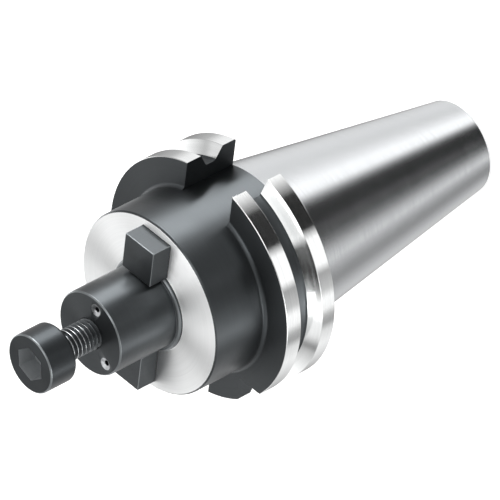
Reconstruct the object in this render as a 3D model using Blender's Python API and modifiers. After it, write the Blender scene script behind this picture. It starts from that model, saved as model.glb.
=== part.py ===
"""Face mill arbor for a size 40 steep-taper (7:24) spindle.

The arbor stands on its tail end, the small end of the taper, with +Z along its axis towards the
clamping screw. The origin is the centre of the tail end face. The drive slots and the drive keys
lie on the Y axis.

Pieces: the arbor body, which is turned, milled and ground from one bar; two drive keys seated in
pockets in its face; and the clamping screw, backed out of its threaded bore.
"""

import math

import bmesh
import bpy
from mathutils import Matrix, Vector

MM = 0.001

# Steep taper
TAPER_GAUGE_DIAMETER = 44.45 * MM
TAPER_LENGTH = 68.4 * MM
TAPER_RATIO = 7 / 24
TAIL_CHAMFER = 0.8 * MM

# Bore for the pull stud, with the coolant chamber above it
STUD_PILOT_DIAMETER = 17.0 * MM
STUD_PILOT_DEPTH = 8.0 * MM
STUD_MOUTH_CHAMFER = 0.5 * MM
STUD_CORE_DIAMETER = 14.0 * MM
STUD_CORE_DEPTH = 43.0 * MM
CHAMBER_STEP = 2.7 * MM
CHAMBER_WEB = 12.0 * MM
DRILL_POINT_ANGLE = math.radians(118)

# Gripper flange
FLANGE_DIAMETER = 63.55 * MM
FLANGE_THICKNESS = 15.9 * MM
FLANGE_STANDOFF = 3.2 * MM
FLANGE_CHAMFER = 0.5 * MM
GROOVE_CENTRE_SETBACK = 8.0 * MM
GROOVE_WIDTH = 7.07 * MM
GROOVE_DEPTH = 3.65 * MM
GROOVE_ANGLE = math.radians(60)

# Drive slots and index notch of the flange
SLOT_WIDTH = 16.1 * MM
FRONT_SLOT_UNDERCUT = 0.1 * MM
FRONT_SLOT_RISE = 0.3 * MM
REAR_SLOT_RISE = 2.775 * MM
NOTCH_DEPTH = 5.38 * MM
NOTCH_DIRECTION = math.radians(132.7)

# Collar, whose face seats the milling cutter
GAUGE_LENGTH = 35.0 * MM
COLLAR_DIAMETER = 48.0 * MM
COLLAR_FILLET = 1.0 * MM
COLLAR_CHAMFER = 0.4 * MM

# Pilot, which centres the cutter
PILOT_DIAMETER = 22.0 * MM
PILOT_LENGTH = 19.0 * MM
PILOT_CHAMFER = 0.5 * MM
SHOULDER_WIDTH = 1.2 * MM
SHOULDER_HEIGHT = 1.0 * MM

# Clamping screw, M8 by 25, with a wide head
SCREW_DIAMETER = 8.0 * MM
SCREW_LENGTH = 25.0 * MM
SCREW_TIP_CHAMFER = 0.8 * MM
HEAD_DIAMETER = 15.4 * MM
HEAD_HEIGHT = 8.3 * MM
HEAD_FRONT_CHAMFER = 0.35 * MM
HEAD_BACK_ROUND = 0.9 * MM
SOCKET_ACROSS_FLATS = 8.0 * MM
SOCKET_DEPTH = 5.0 * MM
SOCKET_DIRECTION = math.radians(10)
SCREW_BACKED_OUT = 10.5 * MM
BORE_RUNOUT = 1.7 * MM
BORE_MOUTH_CHAMFER = 0.3 * MM

# Drive keys
KEY_WIDTH = 10.0 * MM
KEY_HEIGHT = 5.6 * MM
KEY_ROOT_DEPTH = 4.0 * MM
KEY_EDGE_CHAMFER = 0.35 * MM
KEY_PILOT_GAP = 0.35 * MM
KEY_RIM = 2.6 * MM

# Coolant outlets in the pilot's front face
OUTLET_DIAMETER = 1.4 * MM
OUTLET_SINK_DIAMETER = 3.2 * MM
OUTLET_SINK_DEPTH = 0.5 * MM
OUTLET_SETBACK = 2.85 * MM
OUTLET_DIRECTIONS = (math.radians(140), math.radians(262))

# Clearance between one piece and the next, and how far a cutter runs past what it cuts
CLEARANCE = 0.3 * MM
OVERCUT = 2.0 * MM

# Facets
BODY_STEPS = 72
SCREW_STEPS = 48
OUTLET_SIDES = 12
ARC_SEGMENTS = 3
WELD_DISTANCE = 0.001 * MM
SMOOTH_ANGLE = math.radians(30)

# Heights above the tail end
FLANGE_BACK_Z = TAPER_LENGTH + FLANGE_STANDOFF
FLANGE_FRONT_Z = FLANGE_BACK_Z + FLANGE_THICKNESS
GROOVE_Z = FLANGE_FRONT_Z - GROOVE_CENTRE_SETBACK
FACE_Z = TAPER_LENGTH + GAUGE_LENGTH
PILOT_FRONT_Z = FACE_Z + PILOT_LENGTH
HEAD_BACK_Z = PILOT_FRONT_Z + CLEARANCE + SCREW_BACKED_OUT
BORE_BOTTOM_Z = PILOT_FRONT_Z + CLEARANCE - SCREW_LENGTH - BORE_RUNOUT
CHAMBER_ROOF_Z = BORE_BOTTOM_Z - CHAMBER_WEB

# Radii that follow from the sizes above
COLLAR_RADIUS = COLLAR_DIAMETER / 2
PILOT_RADIUS = PILOT_DIAMETER / 2
FLANGE_RADIUS = FLANGE_DIAMETER / 2
BORE_RADIUS = SCREW_DIAMETER / 2 + CLEARANCE
CHAMBER_RADIUS = BORE_RADIUS + CHAMBER_STEP
OUTLET_PITCH_RADIUS = PILOT_RADIUS - OUTLET_SETBACK


def taper_radius(height):
    """Radius of the 7:24 cone at a height above the tail end."""
    return TAPER_GAUGE_DIAMETER / 2 + (height - TAPER_LENGTH) * TAPER_RATIO / 2


def collar_fillet():
    """Radius of the fillet where the collar meets the flange, limited by the flange's front face."""
    return min(COLLAR_FILLET, (FLANGE_RADIUS - FLANGE_CHAMFER - COLLAR_RADIUS) / 2)


def key_span():
    """How far the inner and outer ends of a drive key lie from the axis."""
    return PILOT_RADIUS + KEY_PILOT_GAP, COLLAR_RADIUS - KEY_RIM


def arc(centre, radius, start_degrees, end_degrees):
    """Points (r, z) along an arc of a profile, ends included."""
    turn = (end_degrees - start_degrees) / ARC_SEGMENTS
    angles = [math.radians(start_degrees + turn * i) for i in range(ARC_SEGMENTS + 1)]
    return [(centre[0] + radius * math.cos(a), centre[1] + radius * math.sin(a)) for a in angles]


def make_material(name, colour, roughness, metallic=1.0):
    """A plain metal finish."""
    material = bpy.data.materials.new(name)
    material.use_nodes = True
    shader = material.node_tree.nodes["Principled BSDF"]
    shader.inputs["Base Color"].default_value = (*colour, 1.0)
    shader.inputs["Roughness"].default_value = roughness
    shader.inputs["Metallic"].default_value = metallic
    material.diffuse_color = (*colour, 1.0)
    return material


def new_object(name, mesh, collection, parent=None, location=(0, 0, 0)):
    """An object made from a mesh, linked to a collection and parented to an empty."""
    obj = bpy.data.objects.new(name, mesh)
    obj.location = location
    obj.parent = parent
    collection.objects.link(obj)
    return obj


def turned_mesh(name, outline, steps):
    """The mesh of a turned piece, whose outline of (r, z) points runs down its outer side."""
    profile = bpy.data.meshes.new(name + "_profile")
    edges = [(i, i + 1) for i in range(len(outline) - 1)]
    profile.from_pydata([(r, 0, z) for r, z in outline], edges, [])
    lathe = new_object(name + "_profile", profile, bpy.context.scene.collection)
    screw = lathe.modifiers.new("Turn", "SCREW")
    screw.axis = "Z"
    screw.steps = steps
    screw.render_steps = steps
    screw.use_merge_vertices = True
    screw.merge_threshold = WELD_DISTANCE
    evaluated = lathe.evaluated_get(bpy.context.evaluated_depsgraph_get())
    mesh = bpy.data.meshes.new_from_object(evaluated)
    bpy.data.objects.remove(lathe)
    bpy.data.meshes.remove(profile)
    mesh.name = name
    mesh.shade_smooth()
    mesh.set_sharp_from_angle(angle=SMOOTH_ANGLE)
    return mesh


def box_mesh(name, low, high):
    """The mesh of a block between two corners."""
    low, high = Vector(low), Vector(high)
    place = Matrix.Translation((low + high) / 2) @ Matrix.Diagonal((*(high - low), 1))
    mesh = bpy.data.meshes.new(name)
    form = bmesh.new()
    bmesh.ops.create_cube(form, size=1, matrix=place)
    form.to_mesh(mesh)
    form.free()
    return mesh


def prism_mesh(name, outline, low, high):
    """The mesh of a prism on an outline of (x, y) points, between two heights."""
    mesh = bpy.data.meshes.new(name)
    form = bmesh.new()
    base = form.faces.new([form.verts.new((x, y, low)) for x, y in outline])
    grown = bmesh.ops.extrude_face_region(form, geom=[base])["geom"]
    top = [v for v in grown if isinstance(v, bmesh.types.BMVert)]
    bmesh.ops.translate(form, verts=top, vec=(0, 0, high - low))
    bmesh.ops.recalc_face_normals(form, faces=form.faces[:])
    form.to_mesh(mesh)
    form.free()
    return mesh


def rod_mesh(name, start, end, start_radius, end_radius, sides, turn=0.0):
    """The mesh of a rod, cone or prism between two points, turned about its own axis."""
    start, end = Vector(start), Vector(end)
    axis = end - start
    lean = Vector((0, 0, 1)).rotation_difference(axis).to_matrix().to_4x4()
    place = Matrix.Translation((start + end) / 2) @ lean @ Matrix.Rotation(turn, 4, "Z")
    mesh = bpy.data.meshes.new(name)
    form = bmesh.new()
    bmesh.ops.create_cone(form, cap_ends=True, segments=sides, radius1=start_radius, radius2=end_radius,
                          depth=axis.length, matrix=place)
    form.to_mesh(mesh)
    form.free()
    return mesh


def cut(target, mesh, cutters, parent=None):
    """Takes a cutter's shape out of an object with a live Boolean."""
    cutter = new_object(mesh.name, mesh, cutters, parent)
    cutter.hide_render = True
    cutter.display_type = "WIRE"
    boolean = target.modifiers.new(mesh.name, "BOOLEAN")
    boolean.operation = "DIFFERENCE"
    boolean.solver = "EXACT"
    boolean.object = cutter
    return cutter


def body_outline():
    """Profile of the arbor body: up the screw's bore, down the outside and up the pull stud's bore."""
    drill_slope = math.tan(math.pi / 2 - DRILL_POINT_ANGLE / 2)
    fillet = collar_fillet()
    groove_floor_half = GROOVE_WIDTH / 2 - GROOVE_DEPTH * math.tan(GROOVE_ANGLE / 2)
    groove_floor_radius = FLANGE_RADIUS - GROOVE_DEPTH
    stud_pilot_radius = STUD_PILOT_DIAMETER / 2
    stud_core_radius = STUD_CORE_DIAMETER / 2

    bore = [
        (0, BORE_BOTTOM_Z - BORE_RADIUS * drill_slope),
        (BORE_RADIUS, BORE_BOTTOM_Z),
        (BORE_RADIUS, PILOT_FRONT_Z - BORE_MOUTH_CHAMFER),
        (BORE_RADIUS + BORE_MOUTH_CHAMFER, PILOT_FRONT_Z),
    ]
    pilot = [
        (PILOT_RADIUS - PILOT_CHAMFER, PILOT_FRONT_Z),
        (PILOT_RADIUS, PILOT_FRONT_Z - PILOT_CHAMFER),
        (PILOT_RADIUS, FACE_Z + SHOULDER_HEIGHT),
        (PILOT_RADIUS + SHOULDER_WIDTH, FACE_Z + SHOULDER_HEIGHT),
    ]
    collar = [
        (PILOT_RADIUS + SHOULDER_WIDTH, FACE_Z),
        (COLLAR_RADIUS - COLLAR_CHAMFER, FACE_Z),
        (COLLAR_RADIUS, FACE_Z - COLLAR_CHAMFER),
        *arc((COLLAR_RADIUS + fillet, FLANGE_FRONT_Z + fillet), fillet, 180, 270),
    ]
    flange = [
        (FLANGE_RADIUS - FLANGE_CHAMFER, FLANGE_FRONT_Z),
        (FLANGE_RADIUS, FLANGE_FRONT_Z - FLANGE_CHAMFER),
        (FLANGE_RADIUS, GROOVE_Z + GROOVE_WIDTH / 2),
        (groove_floor_radius, GROOVE_Z + groove_floor_half),
        (groove_floor_radius, GROOVE_Z - groove_floor_half),
        (FLANGE_RADIUS, GROOVE_Z - GROOVE_WIDTH / 2),
        (FLANGE_RADIUS, FLANGE_BACK_Z + FLANGE_CHAMFER),
        (FLANGE_RADIUS - FLANGE_CHAMFER, FLANGE_BACK_Z),
    ]
    taper = [
        (taper_radius(FLANGE_BACK_Z), FLANGE_BACK_Z),
        (taper_radius(TAIL_CHAMFER), TAIL_CHAMFER),
        (taper_radius(0) - TAIL_CHAMFER, 0),
    ]
    stud_bore = [
        (stud_pilot_radius + STUD_MOUTH_CHAMFER, 0),
        (stud_pilot_radius, STUD_MOUTH_CHAMFER),
        (stud_pilot_radius, STUD_PILOT_DEPTH),
        (stud_core_radius, STUD_PILOT_DEPTH + abs(stud_pilot_radius - stud_core_radius)),
        (stud_core_radius, STUD_CORE_DEPTH),
        (CHAMBER_RADIUS, STUD_CORE_DEPTH + abs(stud_core_radius - CHAMBER_RADIUS)),
        (CHAMBER_RADIUS, CHAMBER_ROOF_Z),
        (0, CHAMBER_ROOF_Z + CHAMBER_RADIUS * drill_slope),
    ]
    return bore + pilot + collar + flange + taper + stud_bore


def screw_outline():
    """Profile of the clamping screw, measured from the underside of its head."""
    head_radius = HEAD_DIAMETER / 2
    shank_radius = SCREW_DIAMETER / 2
    return [
        (0, HEAD_HEIGHT),
        (head_radius - HEAD_FRONT_CHAMFER, HEAD_HEIGHT),
        (head_radius, HEAD_HEIGHT - HEAD_FRONT_CHAMFER),
        *arc((head_radius - HEAD_BACK_ROUND, HEAD_BACK_ROUND), HEAD_BACK_ROUND, 0, -90),
        (shank_radius, 0),
        (shank_radius, SCREW_TIP_CHAMFER - SCREW_LENGTH),
        (shank_radius - SCREW_TIP_CHAMFER, -SCREW_LENGTH),
        (0, -SCREW_LENGTH),
    ]


def round_slot_floor():
    """Points (x, y) of the front slot's floor, which is round and goes on from the collar to the taper."""
    half = SLOT_WIDTH / 2
    radius = max(COLLAR_RADIUS - FRONT_SLOT_UNDERCUT, taper_radius(FLANGE_BACK_Z) + FRONT_SLOT_RISE)
    facet = math.tau / BODY_STEPS
    whole = int(math.asin(half / radius) / facet)
    floor = [(radius * math.sin(facet * i), -radius * math.cos(facet * i)) for i in range(-whole - 1, whole + 2)]
    share = (half - floor[-2][0]) / (floor[-1][0] - floor[-2][0])
    end = floor[-2][1] + share * (floor[-1][1] - floor[-2][1])
    return [(-half, end), *floor[1:-1], (half, end)]


def cut_drive_slots(body, cutters, parent):
    """The two slots in the flange that the spindle's driving dogs fill."""
    half = SLOT_WIDTH / 2
    back = FLANGE_BACK_Z - OVERCUT
    front = FLANGE_FRONT_Z + collar_fillet()
    outside = FLANGE_RADIUS + OVERCUT
    front_slot = [*round_slot_floor(), (half, -outside), (-half, -outside)]
    cut(body, prism_mesh("front_slot", front_slot, back, front), cutters, parent)
    rear_floor = TAPER_GAUGE_DIAMETER / 2 + REAR_SLOT_RISE
    cut(body, box_mesh("rear_slot", (-half, rear_floor, back), (half, outside, front)), cutters, parent)


def cut_index_notch(body, cutters, parent):
    """The square corner cut through the front ring of the flange, into the gripper groove."""
    apex = FLANGE_RADIUS - NOTCH_DEPTH
    corner = Vector((math.cos(NOTCH_DIRECTION), math.sin(NOTCH_DIRECTION))) * apex
    low = (-FLANGE_RADIUS - OVERCUT, corner.y, GROOVE_Z)
    high = (corner.x, FLANGE_RADIUS + OVERCUT, FLANGE_FRONT_Z + OVERCUT / 2)
    cut(body, box_mesh("index_notch", low, high), cutters, parent)


def cut_key_pockets(body, cutters, parent):
    """The pockets in the collar's face and the pilot's shoulder that hold the drive keys."""
    half = KEY_WIDTH / 2 + CLEARANCE
    inner, outer = key_span()
    for name, side in (("front_key_pocket", -1), ("rear_key_pocket", 1)):
        edges = sorted((side * (inner - CLEARANCE), side * (outer + CLEARANCE)))
        low = (-half, edges[0], FACE_Z - KEY_ROOT_DEPTH - CLEARANCE)
        high = (half, edges[1], FACE_Z + SHOULDER_HEIGHT + CLEARANCE)
        cut(body, box_mesh(name, low, high), cutters, parent)


def cut_coolant_outlets(body, cutters, parent):
    """Slanted drillings from the pilot's front face into the coolant chamber, each countersunk."""
    drill_radius = OUTLET_DIAMETER / 2
    chamber_reach = CHAMBER_RADIUS - 2 * drill_radius
    for i, angle in enumerate(OUTLET_DIRECTIONS):
        outward = Vector((math.cos(angle), math.sin(angle), 0))
        mouth = outward * OUTLET_PITCH_RADIUS + Vector((0, 0, PILOT_FRONT_Z))
        inlet = outward * chamber_reach + Vector((0, 0, CHAMBER_ROOF_Z - OVERCUT))
        past_mouth = mouth + (mouth - inlet).normalized() * OVERCUT
        cut(body, rod_mesh(f"outlet_drilling_{i + 1}", inlet, past_mouth, drill_radius, drill_radius,
                           OUTLET_SIDES), cutters, parent)
        sink_radius = OUTLET_SINK_DIAMETER / 2
        flare = (sink_radius - drill_radius) / OUTLET_SINK_DEPTH
        low = mouth - Vector((0, 0, OUTLET_SINK_DEPTH))
        high = mouth + Vector((0, 0, CLEARANCE))
        cut(body, rod_mesh(f"outlet_countersink_{i + 1}", low, high, drill_radius,
                           sink_radius + flare * CLEARANCE, OUTLET_SIDES), cutters, parent)


def build_body(parts, cutters, frame, steel):
    """The arbor body with its slots, notch, key pockets and coolant outlets."""
    mesh = turned_mesh("arbor_body", body_outline(), BODY_STEPS)
    mesh.materials.append(steel)
    body = new_object("arbor_body", mesh, parts, frame)
    cut_drive_slots(body, cutters, frame)
    cut_index_notch(body, cutters, frame)
    cut_key_pockets(body, cutters, frame)
    cut_coolant_outlets(body, cutters, frame)


def build_keys(parts, frame, steel):
    """The two drive keys, which stand out of the collar's face to drive the cutter."""
    inner, outer = key_span()
    low = (-KEY_WIDTH / 2, -outer, -KEY_ROOT_DEPTH)
    high = (KEY_WIDTH / 2, -inner, KEY_HEIGHT)
    mesh = box_mesh("drive_key", low, high)
    mesh.materials.append(steel)
    for name, turn in (("drive_key_front", 0.0), ("drive_key_rear", math.pi)):
        key = new_object(name, mesh, parts, frame, (0, 0, FACE_Z))
        key.rotation_euler.z = turn
        bevel = key.modifiers.new("Broken edges", "BEVEL")
        bevel.width = KEY_EDGE_CHAMFER
        bevel.segments = 1


def build_screw(parts, cutters, frame, steel):
    """The clamping screw, with its origin on its axis at the underside of the head."""
    mesh = turned_mesh("clamping_screw", screw_outline(), SCREW_STEPS)
    mesh.materials.append(steel)
    screw = new_object("clamping_screw", mesh, parts, frame, (0, 0, HEAD_BACK_Z))
    corner_radius = SOCKET_ACROSS_FLATS / math.sqrt(3)
    floor = (0, 0, HEAD_HEIGHT - SOCKET_DEPTH)
    top = (0, 0, HEAD_HEIGHT + OVERCUT)
    socket = rod_mesh("hex_socket", floor, top, corner_radius, corner_radius, 6, SOCKET_DIRECTION)
    cut(screw, socket, cutters, screw)


def build_arbor():
    """Clears the scene and builds the whole arbor."""
    for obj in list(bpy.data.objects):
        bpy.data.objects.remove(obj)
    parts = bpy.data.collections.new("face_mill_arbor")
    cutters = bpy.data.collections.new("cutters")
    bpy.context.scene.collection.children.link(parts)
    bpy.context.scene.collection.children.link(cutters)
    frame = new_object("arbor_frame", None, parts)

    ground_steel = make_material("ground_steel", (0.62, 0.63, 0.64), 0.25)
    blackened_steel = make_material("blackened_steel", (0.045, 0.048, 0.05), 0.4)
    build_body(parts, cutters, frame, ground_steel)
    build_keys(parts, frame, blackened_steel)
    build_screw(parts, cutters, frame, blackened_steel)


build_arbor()
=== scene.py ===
"""Looks of a size 40 steep-taper face mill arbor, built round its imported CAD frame.

The frame holds the arbor's real sizes and the bodies that move. Here each CAD node is replaced by a
finer mesh of the same form: the turned body with its slots, notch, key pockets and coolant outlets,
the two drive keys with broken edges, and the clamping screw with its rolled M8 thread. Then come
the finishes, a plain pale floor, the studio light and the camera.

The arbor stands on its tail end with +Z along its axis towards the screw, in metres.
"""

import logging
import math
from collections.abc import Callable
from dataclasses import dataclass, field
from enum import Enum

import bpy
from mathutils import Matrix, Vector

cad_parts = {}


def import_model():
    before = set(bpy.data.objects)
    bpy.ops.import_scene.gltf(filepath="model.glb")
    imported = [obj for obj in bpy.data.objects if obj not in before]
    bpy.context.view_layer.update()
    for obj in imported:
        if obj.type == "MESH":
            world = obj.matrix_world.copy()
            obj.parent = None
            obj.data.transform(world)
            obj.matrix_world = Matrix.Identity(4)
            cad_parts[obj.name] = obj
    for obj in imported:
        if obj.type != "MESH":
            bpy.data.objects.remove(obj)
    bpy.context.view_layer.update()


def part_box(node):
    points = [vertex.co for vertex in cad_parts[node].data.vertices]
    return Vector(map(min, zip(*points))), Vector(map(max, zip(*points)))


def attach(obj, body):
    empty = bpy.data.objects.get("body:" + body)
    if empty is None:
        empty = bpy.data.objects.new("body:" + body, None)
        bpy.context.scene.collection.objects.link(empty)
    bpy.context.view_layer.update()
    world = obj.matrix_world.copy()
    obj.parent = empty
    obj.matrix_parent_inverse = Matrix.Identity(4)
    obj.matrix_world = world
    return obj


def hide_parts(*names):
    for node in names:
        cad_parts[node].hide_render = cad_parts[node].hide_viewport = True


MM = 0.001
WELD = 0.001 * MM
SMOOTH_ANGLE = math.radians(30)
LARGEST_FACES_LEAD = 100
WHITE = (1.0, 1.0, 1.0, 1.0)

# Share of a face's normal along a direction, from which the face counts as square to it, as turned
# towards it by half, and as turned towards it at all, and the play of that share on a groove's flank
SQUARE = 0.99
HALF = 0.5
SLIGHT = 0.2
FLANK_PLAY = 0.05

log = logging.getLogger("arbor")

# A corner of a turned outline: radius from the axis, height, and the rounding of its edge
Corner = tuple[float, float, float]
Point = tuple[float, float]


# Modelling tools


class Action(Enum):
    """What a tool does to the piece that it meets."""

    CUT = "DIFFERENCE"
    JOIN = "UNION"
    TRIM = "INTERSECT"


def deselect_all() -> None:
    """Leaves edit mode and deselects every object, so that an operator acts on its own piece."""
    if bpy.context.object and bpy.context.object.mode != "OBJECT":
        bpy.ops.object.mode_set(mode="OBJECT")
    bpy.ops.object.select_all(action="DESELECT")


def take(piece: bpy.types.Object) -> None:
    """Selects one piece alone and makes it active.

    Args:
        piece: The object that the next operators act on.
    """
    deselect_all()
    piece.select_set(True)
    bpy.context.view_layer.objects.active = piece


def settle(piece: bpy.types.Object) -> bpy.types.Object:
    """Puts a piece's place, turn and scale into its mesh.

    Args:
        piece: The object, whose own transform becomes the identity.

    Returns:
        The same object.
    """
    take(piece)
    bpy.ops.object.transform_apply(location=True, rotation=True, scale=True)
    return piece


def round_corners(corners: list[Corner], steps: int) -> list[Point]:
    """Replaces each corner that has a rounding by an arc that is tangent to both its sides.

    Args:
        corners: The outline's corners, in order.
        steps: Segments of each arc.

    Returns:
        The outline's points as radius and height.
    """
    points = [corners[0][:2]]
    for before, corner, after in zip(corners, corners[1:], corners[2:]):
        here = Vector(corner[:2])
        rounding = corner[2]
        if rounding == 0:
            points.append(corner[:2])
            continue
        back = (Vector(before[:2]) - here).normalized()
        ahead = (Vector(after[:2]) - here).normalized()
        half = back.angle(ahead) / 2
        centre = here + (back + ahead).normalized() * rounding / math.sin(half)
        start = here + back * rounding / math.tan(half) - centre
        end = here + ahead * rounding / math.tan(half) - centre
        for i in range(steps + 1):
            points.append(tuple(centre + start.lerp(end, i / steps).normalized() * rounding))
    points.append(corners[-1][:2])
    return points


def draw_outline(name: str, outline: list[Point], base: float = 0.0) -> bpy.types.Object:
    """Draws an outline beside the Z axis by extruding one vertex along it.

    Args:
        name: The piece's name.
        outline: Points as radius and height.
        base: The height from which the outline's heights are counted.

    Returns:
        The piece, so far a chain of edges.
    """
    deselect_all()
    first = outline[0]
    bpy.ops.mesh.primitive_plane_add(size=MM, location=(first[0], 0, base + first[1]))
    piece = settle(bpy.context.object)
    piece.name = name
    bpy.ops.object.mode_set(mode="EDIT")
    bpy.ops.mesh.select_all(action="SELECT")
    bpy.ops.mesh.merge(type="CENTER")
    for here, there in zip(outline, outline[1:]):
        step = (there[0] - here[0], 0, there[1] - here[1])
        bpy.ops.mesh.extrude_region_move(TRANSFORM_OT_translate={"value": step})
    bpy.ops.object.mode_set(mode="OBJECT")
    return piece


def turn_piece(name: str, outline: list[Point], steps: int) -> bpy.types.Object:
    """Draws an outline and spins it about the Z axis.

    Args:
        name: The piece's name.
        outline: Points as radius and height, from one point on the axis to another.
        steps: Segments round the axis.

    Returns:
        A closed turned piece.
    """
    piece = draw_outline(name, outline)
    bpy.ops.object.mode_set(mode="EDIT")
    bpy.ops.mesh.select_all(action="SELECT")
    bpy.ops.mesh.spin(steps=steps, angle=math.tau, center=(0, 0, 0), axis=(0, 0, 1))
    bpy.ops.mesh.select_all(action="SELECT")
    bpy.ops.mesh.remove_doubles(threshold=WELD)
    bpy.ops.mesh.normals_make_consistent(inside=False)
    bpy.ops.object.mode_set(mode="OBJECT")
    return piece


def add_block(name: str, low: Vector, high: Vector) -> bpy.types.Object:
    """Adds a block between two corners.

    Args:
        name: The block's name.
        low: Its lowest corner.
        high: Its highest corner.

    Returns:
        The block, with its place in its mesh.
    """
    deselect_all()
    bpy.ops.mesh.primitive_cube_add(size=1, location=(low + high) / 2, scale=high - low)
    block = settle(bpy.context.object)
    block.name = name
    return block


def add_rod(
    name: str, start: Vector, end: Vector, radii: Point, sides: int, turn: float = 0.0
) -> bpy.types.Object:
    """Adds a rod, cone or prism between two points.

    Args:
        name: The rod's name.
        start: Centre of its first end.
        end: Centre of its second end.
        radii: Radius at the first and at the second end.
        sides: Number of its side faces.
        turn: Turn about its own axis, in radians.

    Returns:
        The rod, with its place in its mesh.
    """
    deselect_all()
    axis = end - start
    lean = Vector((0, 0, 1)).rotation_difference(axis).to_matrix() @ Matrix.Rotation(turn, 3, "Z")
    bpy.ops.mesh.primitive_cone_add(
        vertices=sides, radius1=radii[0], radius2=radii[1], depth=axis.length,
        location=(start + end) / 2, rotation=lean.to_euler(),
    )
    rod = settle(bpy.context.object)
    rod.name = name
    return rod


def combine(piece: bpy.types.Object, tool: bpy.types.Object, action: Action) -> None:
    """Applies a tool to a piece, removes the tool and closes the seam.

    Args:
        piece: The object that is changed.
        tool: The object that cuts, joins or trims it.
        action: What the tool does.
    """
    boolean = piece.modifiers.new("Boolean", "BOOLEAN")
    boolean.operation = action.value
    boolean.solver = "EXACT"
    boolean.object = tool
    take(piece)
    bpy.ops.object.modifier_apply(modifier=boolean.name)
    bpy.data.objects.remove(tool)
    bpy.ops.object.mode_set(mode="EDIT")
    bpy.ops.mesh.select_all(action="SELECT")
    bpy.ops.mesh.remove_doubles(threshold=WELD)
    bpy.ops.object.mode_set(mode="OBJECT")


def smooth(piece: bpy.types.Object) -> None:
    """Shades a piece smooth, with its real edges kept sharp and its large faces kept flat.

    Args:
        piece: The object to shade.
    """
    take(piece)
    bpy.ops.object.shade_smooth_by_angle(angle=SMOOTH_ANGLE)
    weighted = piece.modifiers.new("Weighted normals", "WEIGHTED_NORMAL")
    weighted.mode = "FACE_AREA"
    weighted.weight = LARGEST_FACES_LEAD
    weighted.keep_sharp = True
    bpy.ops.object.modifier_apply(modifier=weighted.name)


def dress(
    piece: bpy.types.Object,
    materials: dict[Enum, bpy.types.Material],
    choose: Callable[[Vector, Vector], Enum],
) -> None:
    """Gives a piece its finishes, and picks one for each face by its place and direction.

    Args:
        piece: The object to dress.
        materials: The material of each of the piece's surfaces.
        choose: Returns the surface of a face from its centre and normal.
    """
    piece.data.materials.clear()
    slots = {}
    for surface, material in materials.items():
        slots[surface] = len(piece.data.materials)
        piece.data.materials.append(material)
    for face in piece.data.polygons:
        face.material_index = slots[choose(face.center, face.normal)]


# Finishes

# The part of the noise's range that the colours and the roughness run over
TONE_LOW = 0.3
TONE_HIGH = 0.7
# How far the roughness swings over that range, as a share
GLOSS_SWING = 0.12
# How much of a blackened surface's tone comes from the oxide's clouds and from the tool marks
CLOUD_SHARE = 0.7
MARK_SHARE = 0.3
# Quarter of a turn, which lays the stretched gloss along the marks
QUARTER_TURN = 0.25
MARK_DETAIL = 3.0
CLOUD_DETAIL = 4.0
# Numbers of the Mix node's colour sockets, whose names its other sockets have too
COLOUR_A = 6
COLOUR_B = 7
COLOUR_RESULT = 2


def linear(code: str) -> tuple[float, float, float, float]:
    """Turns an sRGB hex colour into linear RGBA.

    Args:
        code: Six hex digits after a hash.

    Returns:
        The colour for a shader's socket.
    """
    parts = [int(code[i : i + 2], 16) / 255 for i in (1, 3, 5)]
    return (*(c / 12.92 if c <= 0.04045 else ((c + 0.055) / 1.055) ** 2.4 for c in parts), 1.0)


def add_node(
    tree: bpy.types.NodeTree, kind: str, sockets: dict[str | int, object] | None = None, **settings: str
) -> bpy.types.Node:
    """Adds a shader node with its settings, values and links.

    Args:
        tree: The node tree.
        kind: The node's type after "ShaderNode".
        sockets: Input name or number to a value, or to the output socket that feeds it.
        settings: The node's own properties.

    Returns:
        The new node.
    """
    node = tree.nodes.new("ShaderNode" + kind)
    for name, value in settings.items():
        setattr(node, name, value)
    for key, value in (sockets or {}).items():
        if isinstance(value, bpy.types.NodeSocket):
            tree.links.new(value, node.inputs[key])
        else:
            node.inputs[key].default_value = value
    return node


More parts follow.
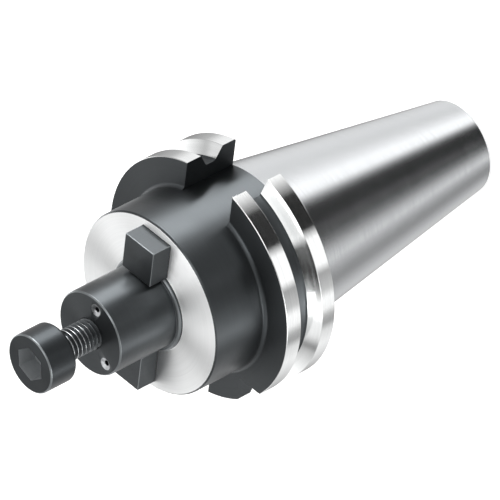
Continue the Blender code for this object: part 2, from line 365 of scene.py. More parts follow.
@dataclass(frozen=True)
class SteelFinish:
    """A steel surface as it left its last machine.

    Attributes:
        name: The material's name.
        colour: sRGB colour of the bare or blackened metal.
        spread: How far the colour swings between its lightest and darkest marks, as a share.
        roughness: Roughness across the marks.
        anisotropy: How much more the marks scatter light across than along them.
        spacing: Distance from one mark to the next, in metres.
        reach: Length of one mark along the cut, in metres.
        relief: Depth of the marks in the bump, in metres.
        clouding: Size of the soft patches of an oxide coat, in metres, or 0 for bare steel.
        crossed: Whether the marks lie along the axis and not round it.
        metallic: 1 for bare steel, less where an oxide coat scatters some light of its own.
    """

    name: str
    colour: str
    spread: float
    roughness: float
    anisotropy: float
    spacing: float
    reach: float
    relief: float
    clouding: float = 0.0
    crossed: bool = False
    metallic: float = 1.0

    def marks(self, tree: bpy.types.NodeTree) -> bpy.types.NodeSocket:
        """Noise drawn out into long marks that run round the axis, on cylinders and end faces alike.

        Args:
            tree: The material's node tree.

        Returns:
            The noise, from 0 to 1.
        """
        place = add_node(tree, "TexCoord").outputs["Object"]
        parts = add_node(tree, "SeparateXYZ", {0: place}).outputs
        plan = add_node(tree, "CombineXYZ", {"X": parts["X"], "Y": parts["Y"]}).outputs[0]
        radius = add_node(tree, "VectorMath", {0: plan}, operation="LENGTH").outputs["Value"]
        across = add_node(tree, "Math", {0: radius, 1: parts["Z"]}, operation="ADD").outputs[0]
        path = add_node(tree, "CombineXYZ", {"X": parts["X"], "Y": parts["Y"], "Z": across}).outputs[0]
        scale = (1 / self.reach, 1 / self.reach, 1 / self.spacing)
        if self.crossed:
            scale = (1 / self.spacing, 1 / self.spacing, 1 / self.reach)
        stretched = add_node(tree, "Mapping", {"Vector": path, "Scale": scale}).outputs[0]
        return add_node(
            tree, "TexNoise", {"Vector": stretched, "Scale": 1.0, "Detail": MARK_DETAIL}).outputs[0]

    def clouds(self, tree: bpy.types.NodeTree) -> bpy.types.NodeSocket:
        """Soft patches, where the oxide coat is a little thicker or thinner.

        Args:
            tree: The material's node tree.

        Returns:
            The noise, from 0 to 1.
        """
        place = add_node(tree, "TexCoord").outputs["Object"]
        scale = 1 / self.clouding
        return add_node(
            tree, "TexNoise", {"Vector": place, "Scale": scale, "Detail": CLOUD_DETAIL}).outputs[0]

    def build(self) -> bpy.types.Material:
        """Makes the material.

        Returns:
            A node material that reads Object coordinates only.
        """
        material = bpy.data.materials.new(self.name)
        material.use_nodes = True
        tree = material.node_tree
        shader = tree.nodes["Principled BSDF"]
        colour = linear(self.colour)
        material.diffuse_color = colour
        shader.inputs["Metallic"].default_value = self.metallic
        shader.inputs["Anisotropic"].default_value = self.anisotropy
        shader.inputs["Anisotropic Rotation"].default_value = QUARTER_TURN
        marks = self.marks(tree)
        tone = marks
        if self.clouding:
            faint = add_node(tree, "Math", {0: marks, 1: MARK_SHARE}, operation="MULTIPLY").outputs[0]
            tone = add_node(
                tree, "Math", {0: self.clouds(tree), 1: CLOUD_SHARE, 2: faint}, operation="MULTIPLY_ADD",
            ).outputs[0]
        dark = tuple(c * (1 - self.spread) for c in colour[:3]) + (1.0,)
        light = tuple(min(1.0, c * (1 + self.spread)) for c in colour[:3]) + (1.0,)
        blend = add_node(tree, "ValToRGB", {0: tone})
        for stop, position, shade in zip(
            blend.color_ramp.elements, (TONE_LOW, TONE_HIGH), (dark, light)
        ):
            stop.position = position
            stop.color = shade
        tree.links.new(blend.outputs[0], shader.inputs["Base Color"])
        gloss = add_node(tree, "MapRange", {
            "Value": tone, "From Min": TONE_LOW, "From Max": TONE_HIGH,
            "To Min": self.roughness * (1 + GLOSS_SWING), "To Max": self.roughness * (1 - GLOSS_SWING),
        }).outputs[0]
        tree.links.new(gloss, shader.inputs["Roughness"])
        bump = add_node(
            tree, "Bump", {"Height": marks, "Distance": self.relief, "Strength": 1.0}).outputs[0]
        tree.links.new(bump, shader.inputs["Normal"])
        return material


# Cylindrically ground taper: bright, with long streaks of light along the axis. Real grinding marks
# are 0.02 to 0.05 mm apart, which is too fine to show, so they are drawn about ten times as coarse.
GROUND_TAPER = SteelFinish(
    "ground_steel_taper", "#d3d5d7", 0.025, 0.18, 0.80, 0.35 * MM, 30 * MM, 0.00006 * MM)
# Plunge-ground rims and groove flanks of the flange: finer wheel, nearly a mirror.
GROUND_RIM = SteelFinish("ground_steel_rim", "#dcdddd", 0.03, 0.11, 0.6, 0.3 * MM, 40 * MM, 0.00005 * MM)
# Black oxide over turned steel: a satin black that keeps the turning marks' anisotropy. The coat is
# a thin layer of iron oxide, so part of the light comes from the coat and not from the metal.
BLACK_TURNED = SteelFinish(
    "black_oxide_turned", "#45484a", 0.08, 0.36, 0.7, 0.4 * MM, 30 * MM, 0.0004 * MM, 9 * MM, metallic=0.92)
# Black oxide over milled steel, in the slots, the notch and the pockets.
BLACK_MILLED = SteelFinish(
    "black_oxide_milled", "#383b3d", 0.12, 0.42, 0.3, 0.5 * MM, 25 * MM, 0.0006 * MM, 7 * MM, metallic=0.85)
# The same coat rubbed thinner on the broken edges, and drawn lighter there also as a painted
# highlight along them.
BLACK_EDGE_WEAR_AND_HIGHLIGHT = SteelFinish(
    "black_oxide_rubbed_edge_painted_highlight", "#74787a", 0.10, 0.34, 0.3, 0.4 * MM, 20 * MM, 0.0003 * MM, 5 * MM,
    metallic=0.8)
# Fine-turned seat for the cutter: concentric tool marks that fan the light out in spokes. It is drawn
# lighter than bare steel, as the photograph has it.
TURNED_SEAT = SteelFinish(
    "fine_turned_seat", "#f4f5f5", 0.02, 0.46, 0.88, 0.3 * MM, 40 * MM, 0.0001 * MM, metallic=0.95)
# Bare drilled steel of the coolant outlets' countersinks.
BARE_DRILLED = SteelFinish("bare_drilled_steel", "#a4a6a8", 0.05, 0.32, 0.5, 0.2 * MM, 3 * MM, 0.0003 * MM)
# Black oxide on the heat-treated alloy screw's forged and turned head.
BLACK_SCREW = SteelFinish(
    "black_oxide_screw", "#393c3e", 0.10, 0.33, 0.6, 0.3 * MM, 20 * MM, 0.0004 * MM, 5 * MM, metallic=0.92)
# The same oxide in the forged socket, where no tool has smoothed it: a rough scale that scatters its
# light. It is drawn lighter than it is, as painted light inside the socket, so that the socket's
# walls show in their own shade.
BLACK_SOCKET_PAINTED_LIGHT = SteelFinish(
    "black_oxide_socket_painted_light", "#96999b", 0.10, 0.40, 0.2, 0.4 * MM, 10 * MM, 0.0006 * MM, 3 * MM, metallic=0.4)
# Rolled thread, burnished bright on its crests.
ROLLED_THREAD = SteelFinish(
    "rolled_thread_crest", "#b9bcbe", 0.06, 0.28, 0.4, 0.2 * MM, 10 * MM, 0.0002 * MM)
# Its roots and flanks, where the oxide is still on, drawn darker also as painted shade in the
# valleys, so that the turns stand apart.
THREAD_ROOT_OXIDE_AND_SHADE = SteelFinish(
    "rolled_thread_root_painted_shade", "#505355", 0.10, 0.34, 0.2, 0.2 * MM, 10 * MM, 0.0003 * MM, metallic=0.8)
# Hardened and blackened key steel, surface ground before it was blackened.
BLACK_KEY = SteelFinish(
    "black_oxide_key", "#414446", 0.08, 0.40, 0.4, 0.6 * MM, 30 * MM, 0.0003 * MM, 12 * MM,
    crossed=True, metallic=0.8)


# Arbor body


class BodySurface(Enum):
    """Surfaces of the arbor body that differ in finish."""

    TAPER = GROUND_TAPER
    RIM = GROUND_RIM
    TURNED = BLACK_TURNED
    MILLED = BLACK_MILLED
    EDGE = BLACK_EDGE_WEAR_AND_HIGHLIGHT
    SEAT = TURNED_SEAT
    OUTLET = BARE_DRILLED


@dataclass
class ArborBody:
    """The turned, milled and ground body: taper, gripper flange, collar and pilot.

    Heights are above the tail end, unless a name says otherwise.
    """

    steps: int = 288
    arc_steps: int = 4
    taper_length: float = 68.4 * MM
    taper_gauge_radius: float = 22.225 * MM
    taper_slope: float = 7 / 48
    tail_chamfer: float = 0.8 * MM
    stud_guide_radius: float = 8.5 * MM
    stud_guide_depth: float = 8.0 * MM
    stud_mouth_chamfer: float = 0.5 * MM
    stud_cone_length: float = 1.5 * MM
    stud_core_radius: float = 7.0 * MM
    chamber_radius: float = 7.0 * MM
    chamber_roof: float = 84.0 * MM
    drill_slope: float = math.tan(math.radians(31))
    flange_back: float = 71.6 * MM
    flange_front: float = 87.5 * MM
    flange_radius: float = 31.775 * MM
    flange_chamfer: float = 0.35 * MM
    rim_edge: float = 0.18 * MM
    groove_height: float = 79.5 * MM
    groove_half_width: float = 3.535 * MM
    groove_depth: float = 3.65 * MM
    groove_flank: float = math.radians(30)
    groove_fillet: float = 0.9 * MM
    slot_half_width: float = 8.05 * MM
    front_slot_undercut: float = 0.02 * MM
    rear_slot_floor: float = 25.0 * MM
    notch_corner: Point = (-17.9 * MM, 19.4 * MM)
    face: float = 103.4 * MM
    collar_radius: float = 24.0 * MM
    collar_fillet: float = 1.0 * MM
    collar_chamfer: float = 0.4 * MM
    seat_root_round: float = 0.1 * MM
    seat_edge_round: float = 0.05 * MM
    pilot_radius: float = 11.0 * MM
    pilot_front: float = 122.4 * MM
    pilot_chamfer: float = 0.3 * MM
    shoulder_width: float = 1.2 * MM
    shoulder_height: float = 1.0 * MM
    shoulder_root_round: float = 0.15 * MM
    shoulder_round: float = 0.6 * MM
    bore_radius: float = 4.08 * MM
    bore_bottom: float = 96.0 * MM
    bore_chamfer: float = 0.08 * MM
    key_gap: float = 0.06 * MM
    outlet_radius: float = 0.7 * MM
    outlet_sink_radius: float = 1.6 * MM
    outlet_sink_depth: float = 0.5 * MM
    outlet_sink_rise: float = 0.3 * MM
    outlet_sides: int = 24
    outlet_sink_sides: int = 32
    outlet_pitch_radius: float = 8.15 * MM
    outlet_angles: tuple[float, ...] = (math.radians(140), math.radians(262))
    overcut: float = 2.0 * MM
    edge_break: float = 0.12 * MM
    # How far each finish reaches: the rims' grinding inwards, the black of the flange's front face
    # downwards, the pilot's rubbed and painted-highlight edge inwards and downwards, the seat up and
    # down, and the bare outlets outwards. The shoulder's rubbed and painted-highlight edge starts at a
    # height above the seat, and clear of the pilot's side.
    rim_reach: float = 0.6 * MM
    front_reach: float = 0.7 * MM
    pilot_edge_reach: float = 0.4 * MM
    seat_reach: float = 0.06 * MM
    outlet_reach: float = 0.08 * MM
    shoulder_edge_start: float = 0.35 * MM
    pilot_clear: float = 0.1 * MM

    def taper_radius(self, height: float) -> float:
        """Radius of the 7:24 cone at a height."""
        return self.taper_gauge_radius + (height - self.taper_length) * self.taper_slope

    def outline(self) -> list[Corner]:
        """Corners of the profile: up the screw's bore, down the outside, up the pull stud's bore.

        Returns:
            The corners with their roundings, in order.
        """
        edge = self.edge_break
        floor_half = self.groove_half_width - self.groove_depth * math.tan(self.groove_flank)
        floor_radius = self.flange_radius - self.groove_depth
        shoulder_radius = self.pilot_radius + self.shoulder_width
        shoulder_top = self.face + self.shoulder_height
        bore = [
            (0, self.bore_bottom - self.bore_radius * self.drill_slope, 0),
            (self.bore_radius, self.bore_bottom, 0),
            (self.bore_radius, self.pilot_front - self.bore_chamfer, 0),
            (self.bore_radius + self.bore_chamfer, self.pilot_front, 0),
        ]
        pilot = [
            (self.pilot_radius - self.pilot_chamfer, self.pilot_front, edge),
            (self.pilot_radius, self.pilot_front - self.pilot_chamfer, edge),
            (self.pilot_radius, shoulder_top, self.shoulder_root_round),
            (shoulder_radius, shoulder_top, self.shoulder_round),
        ]
        collar = [
            (shoulder_radius, self.face, self.seat_root_round),
            (self.collar_radius - self.collar_chamfer, self.face, self.seat_edge_round),
            (self.collar_radius, self.face - self.collar_chamfer, edge),
            (self.collar_radius, self.flange_front, self.collar_fillet),
        ]
        flange = [
            (self.flange_radius, self.flange_front, self.rim_edge),
            (self.flange_radius, self.groove_height + self.groove_half_width, edge),
            (floor_radius, self.groove_height + floor_half, self.groove_fillet),
            (floor_radius, self.groove_height - floor_half, self.groove_fillet),
            (self.flange_radius, self.groove_height - self.groove_half_width, edge),
            (self.flange_radius, self.flange_back + self.flange_chamfer, edge),
            (self.flange_radius - self.flange_chamfer, self.flange_back, edge),
        ]
        shank = [
            (self.taper_radius(self.flange_back), self.flange_back, 0),
            (self.taper_radius(self.tail_chamfer), self.tail_chamfer, edge),
            (self.taper_radius(0) - self.tail_chamfer, 0, edge),
        ]
        stud_bore = [
            (self.stud_guide_radius + self.stud_mouth_chamfer, 0, 0),
            (self.stud_guide_radius, self.stud_mouth_chamfer, 0),
            (self.stud_guide_radius, self.stud_guide_depth, 0),
            (self.stud_core_radius, self.stud_guide_depth + self.stud_cone_length, 0),
            (self.chamber_radius, self.chamber_roof, 0),
            (0, self.chamber_roof + self.chamber_radius * self.drill_slope, 0),
        ]
        return bore + pilot + collar + flange + shank + stud_bore

    def cut_drive_slots(self, body: bpy.types.Object) -> None:
        """Mills the two slots of the flange for the spindle's driving dogs.

        The front slot's floor is round and goes on from the collar. The rear slot's floor is flat.

        Args:
            body: The turned body, which is cut.
        """
        half = self.slot_half_width
        back = self.flange_back - self.overcut
        front = self.flange_front + self.collar_fillet
        outside = self.flange_radius + self.overcut
        front_slot = add_block(
            "front_slot", Vector((-half, -outside, back)), Vector((half, -half, front)))
        floor_radius = self.collar_radius - self.front_slot_undercut
        below = Vector((0, 0, back - self.overcut))
        above = Vector((0, 0, front + self.overcut))
        core = add_rod("front_slot_core", below, above, (floor_radius, floor_radius), self.steps)
        combine(front_slot, core, Action.CUT)
        combine(body, front_slot, Action.CUT)
        rear_slot = add_block(
            "rear_slot", Vector((-half, self.rear_slot_floor, back)), Vector((half, outside, front)))
        combine(body, rear_slot, Action.CUT)

    def cut_index_notch(self, body: bpy.types.Object) -> None:
        """Mills the square corner through the flange's front ring, into the groove.

        Args:
            body: The turned body, which is cut.
        """
        outside = self.flange_radius + self.overcut
        low = Vector((-outside, self.notch_corner[1], self.groove_height))
        high = Vector((self.notch_corner[0], outside, self.flange_front + self.overcut))
        combine(body, add_block("index_notch", low, high), Action.CUT)

    def cut_key_pockets(self, body: bpy.types.Object) -> None:
        """Mills a close-fitting pocket in the seat for the root of each drive key.

        Args:
            body: The turned body, which is cut.
        """
        gap = Vector((self.key_gap,) * 3)
        for node in ("drive_key_front", "drive_key_rear"):
            low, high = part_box(node)
            low = low - gap
            high = high + gap
            high.z = self.face + self.shoulder_height + self.overcut / 2
            combine(body, add_block(node + "_pocket", low, high), Action.CUT)

    def drill_outlets(self, body: bpy.types.Object) -> None:
        """Drills the slanted coolant outlets down to the chamber, and countersinks them.

        Args:
            body: The turned body, which is cut.
        """
        for i, angle in enumerate(self.outlet_angles):
            outward = Vector((math.cos(angle), math.sin(angle), 0))
            mouth = outward * self.outlet_pitch_radius + Vector((0, 0, self.pilot_front))
            inlet_radius = self.chamber_radius - 2 * self.outlet_radius
            inlet = outward * inlet_radius + Vector((0, 0, self.chamber_roof - self.overcut))
            past = mouth + (mouth - inlet).normalized() * self.overcut
            radii = (self.outlet_radius, self.outlet_radius)
            combine(body, add_rod(f"drilling_{i}", inlet, past, radii, self.outlet_sides), Action.CUT)
            flare = (self.outlet_sink_radius - self.outlet_radius) / self.outlet_sink_depth
            radii = (self.outlet_radius, self.outlet_sink_radius + flare * self.outlet_sink_rise)
            low = mouth - Vector((0, 0, self.outlet_sink_depth))
            high = mouth + Vector((0, 0, self.outlet_sink_rise))
            sink = add_rod(f"countersink_{i}", low, high, radii, self.outlet_sink_sides)
            combine(body, sink, Action.CUT)

    def in_outlet(self, place: Vector, normal: Vector) -> bool:
        """Whether a face belongs to a coolant outlet's countersink.

        Args:
            place: The face's centre.
            normal: The face's normal.

        Returns:
            True for a face near an outlet's mouth that isn't part of the pilot's end face.
        """
        for angle in self.outlet_angles:
            mouth = Vector((math.cos(angle), math.sin(angle))) * self.outlet_pitch_radius
            near_mouth = (place.xy - mouth).length < self.outlet_sink_radius + self.outlet_reach
            near_front = place.z > self.pilot_front - 2 * self.outlet_sink_depth
            if near_mouth and near_front and normal.z < SQUARE:
                return True
        return False

    def on_worn_and_highlit_edge(self, place: Vector, normal: Vector) -> bool:
        """Whether a face belongs to the pilot's front edge or to its shoulder's rounded top.

        Args:
            place: The face's centre.
            normal: The face's normal.

        Returns:
            True for a face on either edge.
        """
        # These edges take the lighter edge colour: rubbed wear, and a painted highlight along them.
        radius = place.xy.length
        near_front = place.z > self.pilot_front - self.pilot_edge_reach
        on_pilot_edge = near_front and radius > self.pilot_radius - self.pilot_edge_reach
        on_shoulder_top = place.z > self.face + self.shoulder_edge_start and normal.z > SLIGHT
        beside_pilot = self.pilot_radius + self.pilot_clear < radius < self.collar_radius
        return on_pilot_edge or (on_shoulder_top and beside_pilot)

    def surface(self, place: Vector, normal: Vector) -> BodySurface:
        """Says how a face was made.

        Args:
            place: The face's centre.
            normal: The face's normal.

        Returns:
            The surface that the face belongs to.
        """
        if self.in_outlet(place, normal):
            return BodySurface.OUTLET
        if self.on_worn_and_highlit_edge(place, normal):
            return BodySurface.EDGE
        radius = place.xy.length
        outward = (place.x * normal.x + place.y * normal.y) / max(radius, WELD)
        on_seat = self.pilot_radius + self.shoulder_width < radius < self.collar_radius
        if on_seat and abs(place.z - self.face) < self.seat_reach:
            return BodySurface.SEAT
        inside_rim_edge = radius < self.flange_radius - self.rim_edge or outward < SLIGHT
        if place.z > self.flange_front - self.front_reach and inside_rim_edge:
            return BodySurface.TURNED
        if place.z > self.flange_back:
            on_rim = radius > self.flange_radius - self.rim_reach and outward > SLIGHT
            in_groove = radius > self.flange_radius - self.groove_depth
            on_flank = in_groove and abs(outward - math.sin(self.groove_flank)) < FLANK_PLAY
            if on_rim or on_flank:
                return BodySurface.RIM
            cut_wall = abs(normal.z) < SLIGHT and outward < SQUARE
            return BodySurface.MILLED if cut_wall else BodySurface.TURNED
        if radius > self.stud_guide_radius + self.stud_mouth_chamfer and outward > HALF:
            return BodySurface.TAPER
        return BodySurface.TURNED

    def build(self, materials: dict[BodySurface, bpy.types.Material]) -> bpy.types.Object:
        """Makes the body and dresses it.

        Args:
            materials: The material of each surface.

        Returns:
            The finished piece.
        """
        outline = round_corners(self.outline(), self.arc_steps)
        body = turn_piece("arbor_body_turned", outline, self.steps)
        self.cut_drive_slots(body)
        self.cut_index_notch(body)
        self.cut_key_pockets(body)
        self.drill_outlets(body)
        dress(body, materials, self.surface)
        smooth(body)
        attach(body, "arbor")
        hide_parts("arbor_body")
        return body


# Drive keys


class KeySurface(Enum):
    """Surfaces of a drive key that differ in finish."""

    FACE = BLACK_KEY
    EDGE = BLACK_EDGE_WEAR_AND_HIGHLIGHT


@dataclass
class DriveKey:
    """A hardened key, seated in its pocket in the collar's face."""

    node: str
    edge: float = 0.15 * MM
    edge_steps: int = 3

    def surface(self, place: Vector, normal: Vector) -> KeySurface:
        """Tells the key's flat faces from its broken edges."""
        # Broken edges take the lighter edge colour: rubbed wear, and a painted highlight along them.
        flat = max(abs(part) for part in normal) > SQUARE
        return KeySurface.FACE if flat else KeySurface.EDGE

    def build(self, materials: dict[KeySurface, bpy.types.Material]) -> bpy.types.Object:
        """Makes the key from its node's box, with rounded edges.

        Args:
            materials: The material of each surface.

        Returns:
            The finished piece.
        """
        low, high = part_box(self.node)
        key = add_block(self.node + "_block", low, high)
        bevel = key.modifiers.new("Broken edges", "BEVEL")
        bevel.width = self.edge
        bevel.segments = self.edge_steps
        take(key)
        bpy.ops.object.modifier_apply(modifier=bevel.name)
        dress(key, materials, self.surface)
        smooth(key)
        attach(key, "arbor")
        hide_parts(self.node)
        return key


# Clamping screw


class ScrewSurface(Enum):
    """Surfaces of the clamping screw that differ in finish."""

    HEAD = BLACK_SCREW
    SOCKET = BLACK_SOCKET_PAINTED_LIGHT
    EDGE = BLACK_EDGE_WEAR_AND_HIGHLIGHT
    THREAD = ROLLED_THREAD
    ROOT = THREAD_ROOT_OXIDE_AND_SHADE


@dataclass
class ClampingScrew:
    """An M8 socket head screw with a wide head, backed out of its bore."""

    steps: int = 96
    arc_steps: int = 5
    pitch: float = 1.25 * MM
    crest_radius: float = 4.0 * MM
    root_radius: float = 3.35 * MM
    crest_flat: float = 0.18 * MM
    root_flat: float = 0.25 * MM
    tip_chamfer: float = 0.8 * MM
    head_underside: float = 133.2 * MM
    head_back_round: float = 0.9 * MM
    head_front_round: float = 0.35 * MM
    socket_sides: int = 6
    socket_radius: float = 8.0 * MM / math.sqrt(3)
    socket_depth: float = 5.0 * MM
    socket_turn: float = math.radians(10)
    punch_overcut: float = 1.0 * MM
    rolling_allowance: float = 0.1 * MM
    low: Vector = field(default_factory=lambda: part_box("clamping_screw")[0])
    high: Vector = field(default_factory=lambda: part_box("clamping_screw")[1])

    def build_head(self) -> bpy.types.Object:
        """Turns the head and punches its hexagon socket.

        Returns:
            The head.
        """
        radius = self.high.x
        front = self.high.z
        corners = [
            (0, front, 0),
            (radius, front, self.head_front_round),
            (radius, self.head_underside, self.head_back_round),
            (0, self.head_underside, 0),
        ]
        head = turn_piece("clamping_screw_cap", round_corners(corners, self.arc_steps), self.steps)
        bottom = Vector((0, 0, front - self.socket_depth))
        top = Vector((0, 0, front + self.punch_overcut))
        radii = (self.socket_radius, self.socket_radius)
        punch = add_rod("socket", bottom, top, radii, self.socket_sides, self.socket_turn)
        combine(head, punch, Action.CUT)
        return head

    def build_thread(self) -> bpy.types.Object:
        """Rolls the thread: one pitch of its profile, turned along the whole shank.

        It starts two pitches below the tip, ends inside the head, and is cut off flat at both ends.

        Returns:
            The threaded rod.
        """
        flank = (self.pitch - self.crest_flat - self.root_flat) / 2
        start = self.low.z - 2 * self.pitch
        rises = [
            (self.root_radius, 0.0),
            (self.root_radius, self.root_flat),
            (self.crest_radius, self.root_flat + flank),
            (self.crest_radius, self.root_flat + flank + self.crest_flat),
            (self.root_radius, self.pitch),
        ]
        thread = draw_outline("thread", rises, start)
        turns = math.ceil((self.head_underside - start) / self.pitch) + 2
        screw = thread.modifiers.new("Roll", "SCREW")
        screw.steps = self.steps
        screw.render_steps = self.steps
        screw.screw_offset = self.pitch
        screw.iterations = turns
        take(thread)
        bpy.ops.object.modifier_apply(modifier=screw.name)
        bpy.ops.object.mode_set(mode="EDIT")
        bpy.ops.mesh.select_all(action="SELECT")
        bpy.ops.mesh.remove_doubles(threshold=WELD)
        top = self.head_underside + self.pitch / 2
        for height, waste in ((top, "clear_outer"), (self.low.z, "clear_inner")):
            bpy.ops.mesh.bisect(
                plane_co=(0, 0, height), plane_no=(0, 0, 1), use_fill=True, threshold=WELD, **{waste: True})
            bpy.ops.mesh.select_all(action="SELECT")
        bpy.ops.mesh.normals_make_consistent(inside=False)
        bpy.ops.object.mode_set(mode="OBJECT")
        return thread

    def blank(self) -> bpy.types.Object:
        """The rod that trims the thread, with its chamfered tip.

        Returns:
            A plain rod, a little wider than the thread's crests.
        """
        wide = self.crest_radius + self.rolling_allowance
        outline = [
            (0, self.head_underside + self.pitch),
            (wide, self.head_underside + self.pitch),
            (wide, self.low.z + self.tip_chamfer + self.rolling_allowance),
            (self.crest_radius - self.tip_chamfer, self.low.z),
            (0, self.low.z),
        ]
        return turn_piece("blank", outline, self.steps)

    def surface(self, place: Vector, normal: Vector) -> ScrewSurface:
        """Says how a face was made.

        Args:
            place: The face's centre.
            normal: The face's normal, which isn't needed here.

        Returns:
            The surface that the face belongs to.
        """
        radius = place.xy.length
        if place.z < self.head_underside - WELD:
            # Below the crests the thread is drawn darker: oxide left in the valleys, and painted shade
            # there.
            on_crest = radius > self.crest_radius - self.rolling_allowance
            return ScrewSurface.THREAD if on_crest else ScrewSurface.ROOT
        # The head's rounded front edge takes the lighter edge colour: rubbed wear, and a painted highlight
        # along it.
        if place.z > self.high.z - self.head_front_round and radius > self.high.x - self.head_front_round:
            return ScrewSurface.EDGE
        # The socket's faces take its lightened colour, painted light inside the socket.
        if place.z < self.high.z - WELD and radius < self.socket_radius - WELD:
            return ScrewSurface.SOCKET
        return ScrewSurface.HEAD

    def build(self, materials: dict[ScrewSurface, bpy.types.Material]) -> bpy.types.Object:
        """Makes the screw and dresses it.

        Args:
            materials: The material of each surface.

        Returns:
            The finished piece.
        """
        screw = self.build_thread()
        combine(screw, self.blank(), Action.TRIM)
        combine(screw, self.build_head(), Action.JOIN)
        screw.name = "clamping_screw_m8"
        dress(screw, materials, self.surface)
        smooth(screw)
        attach(screw, "screw")
        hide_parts("clamping_screw")
        return screw


# Studio


@dataclass(frozen=True)
class LightBand:
    """Soft strips of light and dark round the horizon, in one band of height.

    A direction's height is its upward share, from -1 for straight down to 1 for straight up.

    Attributes:
        start: Height at which the band begins to show over the band below it.
        full: Height from which it shows alone.
        light: Pairs of degrees anticlockwise from the camera's side, and brightness.
    """

    start: float
    full: float
    light: tuple[Point, ...]


# The light from the lowest band to the highest, named for what mirrors it to the photograph's
# camera. Strip lights and black flags of a real studio would stand at these places. The taper's
# light is the one that all the bands lie over.
TAPER_LIGHT = (
    (-180, 1.0), (-156, 0.7), (-132, 0.6), (-107, 0.36), (-94, 0.34), (-82, 0.5), (-68, 0.95),
    (-55, 0.66), (-41, 0.22), (-28, 0.05), (-14, 0.03), (14, 0.03), (22, 0.10), (29, 0.4), (41, 1.5),
    (55, 1.6), (68, 1.25), (82, 1.0), (94, 0.9), (120, 1.0), (144, 0.92), (156, 0.92), (168, 1.05),
    (180, 1.0),
)
RIM_BAND = LightBand(-0.66, -0.60, (
    (-180, 0.4), (-160, 0.55), (-144, 0.8), (-120, 1.2), (-104, 1.0), (-96, 0.45), (-88, 0.6),
    (-80, 1.3), (-70, 1.4), (-62, 0.75), (-46, 0.5), (-38, 1.5), (-14, 1.5), (-4, 0.02), (28, 0.02),
    (38, 0.6), (50, 1.4), (100, 1.3), (120, 1.15), (134, 0.6), (150, 0.45), (168, 0.3), (180, 0.1),
))
GROOVE_BAND = LightBand(-0.47, -0.42, (
    (-180, 1.2), (-130, 1.2), (-100, 1.1), (-88, 2.0), (-77, 5.0), (-68, 5.0), (-61, 0.1),
    (-57, 0.02), (-18, 0.02), (-9, 2.0), (38, 2.0), (44, 3.0), (56, 20.0), (76, 20.0), (88, 5.0),
    (102, 0.5), (130, 0.6), (150, 4.0), (180, 4.0),
))
COLLAR_BAND = LightBand(-0.25, -0.20, (
    (-180, 1.2), (-130, 0.9), (-100, 1.1), (-86, 1.5), (-74, 8.0), (-66, 11.0), (-50, 11.0),
    (-38, 1.5), (-28, 0.1), (26, 0.1), (40, 3.0), (54, 23.0), (76, 23.0), (88, 5.0), (102, 0.5),
    (130, 0.6), (150, 4.0), (180, 4.0),
))
FLANK_BAND = LightBand(-0.10, 0.15, (
    (-180, 0.5), (-171, 0.6), (-160, 1.6), (-146, 1.5), (-130, 0.55), (-108, 0.6), (-90, 0.9),
    (0, 0.9), (90, 0.9), (108, 0.6), (130, 0.55), (146, 1.7), (160, 1.8), (171, 0.6), (180, 0.5),
))
SEAT_BAND = LightBand(0.56, 0.63, (
    (-180, 0.9), (-175, 0.5), (-168, 0.03), (-131, 0.03), (-124, 1.2), (-95, 1.3), (-80, 0.9),
    (0, 0.9), (130, 1.0), (156, 1.2), (180, 0.9),
))
# Brightness overhead, from -1 at one side of the camera to 1 at the other
OVERHEAD_LIGHT = (
    (-1.0, 1.2), (-0.5, 1.3), (-0.44, 0.4), (-0.36, 0.05), (-0.14, 0.05), (-0.06, 1.6), (0.0, 3.2),
    (0.28, 3.2), (0.36, 1.0), (1.0, 1.0),
)
FULL_CIRCLE = 360
SIDE_TO_SIDE = 2


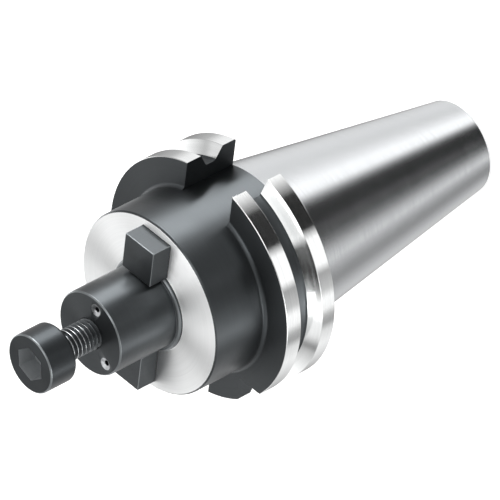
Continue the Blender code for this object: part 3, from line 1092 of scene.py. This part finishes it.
@dataclass
class Studio:
    """The pale floor, the soft light all round, and the photograph's camera."""

    floor_size: float = 6.0
    camera_place: Vector = field(default_factory=lambda: Vector((-0.92826, -1.12249, 1.07013)))
    camera_right: Vector = field(default_factory=lambda: Vector((-0.67193, -0.09821, -0.73407)))
    camera_back: Vector = field(default_factory=lambda: Vector((-0.52553, -0.63516, 0.56602)))
    lens: float = 523.25
    overhead_start: float = 0.76
    overhead_full: float = 0.80
    rear_start: float = -0.14
    rear_full: float = -0.24
    rear_light: tuple[float, float, float, float] = (2.2, 2.2, 2.2, 1.0)
    floor_colour: str = "#f4f4f3"
    floor_lift: float = 0.4
    sensor_width: float = 36.0
    nearest: float = 0.1
    farthest: float = 20.0

    def light_ramp(
        self,
        tree: bpy.types.NodeTree,
        place: bpy.types.NodeSocket,
        light: tuple[Point, ...],
        span: float,
    ) -> bpy.types.NodeSocket:
        """A ramp of brightness.

        Args:
            tree: The world's node tree.
            place: The place along the ramp, from 0 to 1.
            light: Pairs of place, with 0 in the middle, and brightness.
            span: The difference between the last place and the first.

        Returns:
            The brightness.
        """
        ramp = add_node(tree, "ValToRGB", {0: place})
        stops = ramp.color_ramp.elements
        while len(stops) < len(light):
            stops.new(1.0)
        for stop, (at, brightness) in zip(stops, light):
            stop.position = at / span + 0.5
            stop.color = (brightness, brightness, brightness, 1.0)
        return ramp.outputs[0]

    def lay_over(
        self,
        tree: bpy.types.NodeTree,
        height: bpy.types.NodeSocket,
        below: bpy.types.NodeSocket,
        above: bpy.types.NodeSocket,
        border: Point,
    ) -> bpy.types.NodeSocket:
        """Goes over softly from one light to the one above it.

        Args:
            tree: The world's node tree.
            height: The direction's height.
            below: The brightness below the border.
            above: The brightness above it.
            border: Heights at which the upper light begins to show and at which it shows alone.

        Returns:
            The brightness of both together.
        """
        share = add_node(
            tree, "MapRange", {"Value": height, "From Min": border[0], "From Max": border[1]},
            interpolation_type="SMOOTHSTEP",
        ).outputs[0]
        return add_node(
            tree, "Mix", {0: share, COLOUR_A: below, COLOUR_B: above}, data_type="RGBA",
        ).outputs[COLOUR_RESULT]

    def light_overhead(
        self, tree: bpy.types.NodeTree, parts: bpy.types.bpy_prop_collection
    ) -> bpy.types.NodeSocket:
        """The light overhead: strips from side to side, and an even light behind the object.

        Args:
            tree: The world's node tree.
            parts: The direction's shares towards the camera, to its side and upwards.

        Returns:
            The brightness.
        """
        side = add_node(
            tree, "MapRange", {"Value": parts["Y"], "From Min": -1.0, "From Max": 1.0}).outputs[0]
        strips = self.light_ramp(tree, side, OVERHEAD_LIGHT, SIDE_TO_SIDE)
        behind = add_node(tree, "MapRange", {
            "Value": parts["X"], "From Min": self.rear_start, "From Max": self.rear_full}).outputs[0]
        return add_node(
            tree, "Mix", {0: behind, COLOUR_A: strips, COLOUR_B: self.rear_light}, data_type="RGBA",
        ).outputs[COLOUR_RESULT]

    def light_world(self) -> None:
        """The bands of light one over the other, and white for the camera."""
        world = bpy.data.worlds.new("studio")
        bpy.context.scene.world = world
        world.use_nodes = True
        tree = world.node_tree
        tree.nodes.clear()
        direction = add_node(tree, "TexCoord").outputs["Generated"]
        turn = -math.atan2(self.camera_back.y, self.camera_back.x)
        facing = add_node(tree, "Mapping", {"Vector": direction, "Rotation": (0, 0, turn)}).outputs[0]
        angle = add_node(tree, "TexGradient", {"Vector": facing}, gradient_type="RADIAL").outputs["Fac"]
        parts = add_node(tree, "SeparateXYZ", {0: facing}).outputs
        studio = self.light_ramp(tree, angle, TAPER_LIGHT, FULL_CIRCLE)
        for band in (RIM_BAND, GROOVE_BAND, COLLAR_BAND, FLANK_BAND, SEAT_BAND):
            light = self.light_ramp(tree, angle, band.light, FULL_CIRCLE)
            studio = self.lay_over(tree, parts["Z"], studio, light, (band.start, band.full))
        overhead = self.light_overhead(tree, parts)
        studio = self.lay_over(
            tree, parts["Z"], studio, overhead, (self.overhead_start, self.overhead_full))
        strips = add_node(tree, "Background", {"Color": studio}).outputs[0]
        white = add_node(tree, "Background", {"Color": WHITE}).outputs[0]
        seen = add_node(tree, "LightPath").outputs["Is Camera Ray"]
        shown = add_node(tree, "MixShader", {0: seen, 1: strips, 2: white}).outputs[0]
        add_node(tree, "OutputWorld", {"Surface": shown})

    def lay_floor(self) -> None:
        """The pale floor, which keeps the object's soft shadow and looks a little lighter to the camera."""
        deselect_all()
        bpy.ops.mesh.primitive_plane_add(size=self.floor_size, location=(0, 0, 0))
        floor = bpy.context.object
        floor.name = "floor"
        floor.visible_glossy = False
        material = bpy.data.materials.new("pale_floor")
        material.use_nodes = True
        tree = material.node_tree
        tree.nodes.clear()
        matt = add_node(tree, "BsdfDiffuse", {"Color": linear(self.floor_colour)}).outputs[0]
        seen = add_node(tree, "LightPath").outputs["Is Camera Ray"]
        lift = add_node(tree, "Math", {0: seen, 1: self.floor_lift}, operation="MULTIPLY").outputs[0]
        glow = add_node(tree, "Emission", {"Color": WHITE, "Strength": lift}).outputs[0]
        both = add_node(tree, "AddShader", {0: matt, 1: glow}).outputs[0]
        add_node(tree, "OutputMaterial", {"Surface": both})
        floor.data.materials.append(material)

    def place_camera(self) -> None:
        """The camera at the photograph's angle and roll, far off with a long lens."""
        deselect_all()
        bpy.ops.object.camera_add()
        camera = bpy.context.object
        camera.name = "photograph_camera"
        up = self.camera_back.cross(self.camera_right)
        turn = Matrix((self.camera_right, up, self.camera_back)).transposed().to_4x4()
        camera.matrix_world = Matrix.Translation(self.camera_place) @ turn
        camera.data.lens = self.lens
        camera.data.sensor_width = self.sensor_width
        camera.data.clip_start = self.nearest
        camera.data.clip_end = self.farthest
        bpy.context.scene.camera = camera

    def build(self) -> None:
        """Sets the whole studio up."""
        scene = bpy.context.scene
        scene.view_settings.view_transform = "Standard"
        self.light_world()
        self.lay_floor()
        self.place_camera()


def make_finishes() -> dict[SteelFinish, bpy.types.Material]:
    """Makes the material of each finish once, also where two pieces share it.

    Returns:
        Each finish with its material.
    """
    finishes = {}
    for surfaces in (BodySurface, KeySurface, ScrewSurface):
        for surface in surfaces:
            if surface.value not in finishes:
                finishes[surface.value] = surface.value.build()
    return finishes


def main() -> None:
    """Loads the frame, builds and dresses each piece, and sets up the studio."""
    logging.basicConfig(level=logging.INFO, format="%(name)s: %(message)s")
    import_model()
    finishes = make_finishes()
    pieces = [ArborBody().build({s: finishes[s.value] for s in BodySurface})]
    for node in ("drive_key_front", "drive_key_rear"):
        pieces.append(DriveKey(node).build({s: finishes[s.value] for s in KeySurface}))
    pieces.append(ClampingScrew().build({s: finishes[s.value] for s in ScrewSurface}))
    for piece in pieces:
        log.info("%s: %d faces", piece.name, len(piece.data.polygons))
    Studio().build()


if __name__ == "__main__":
    main()
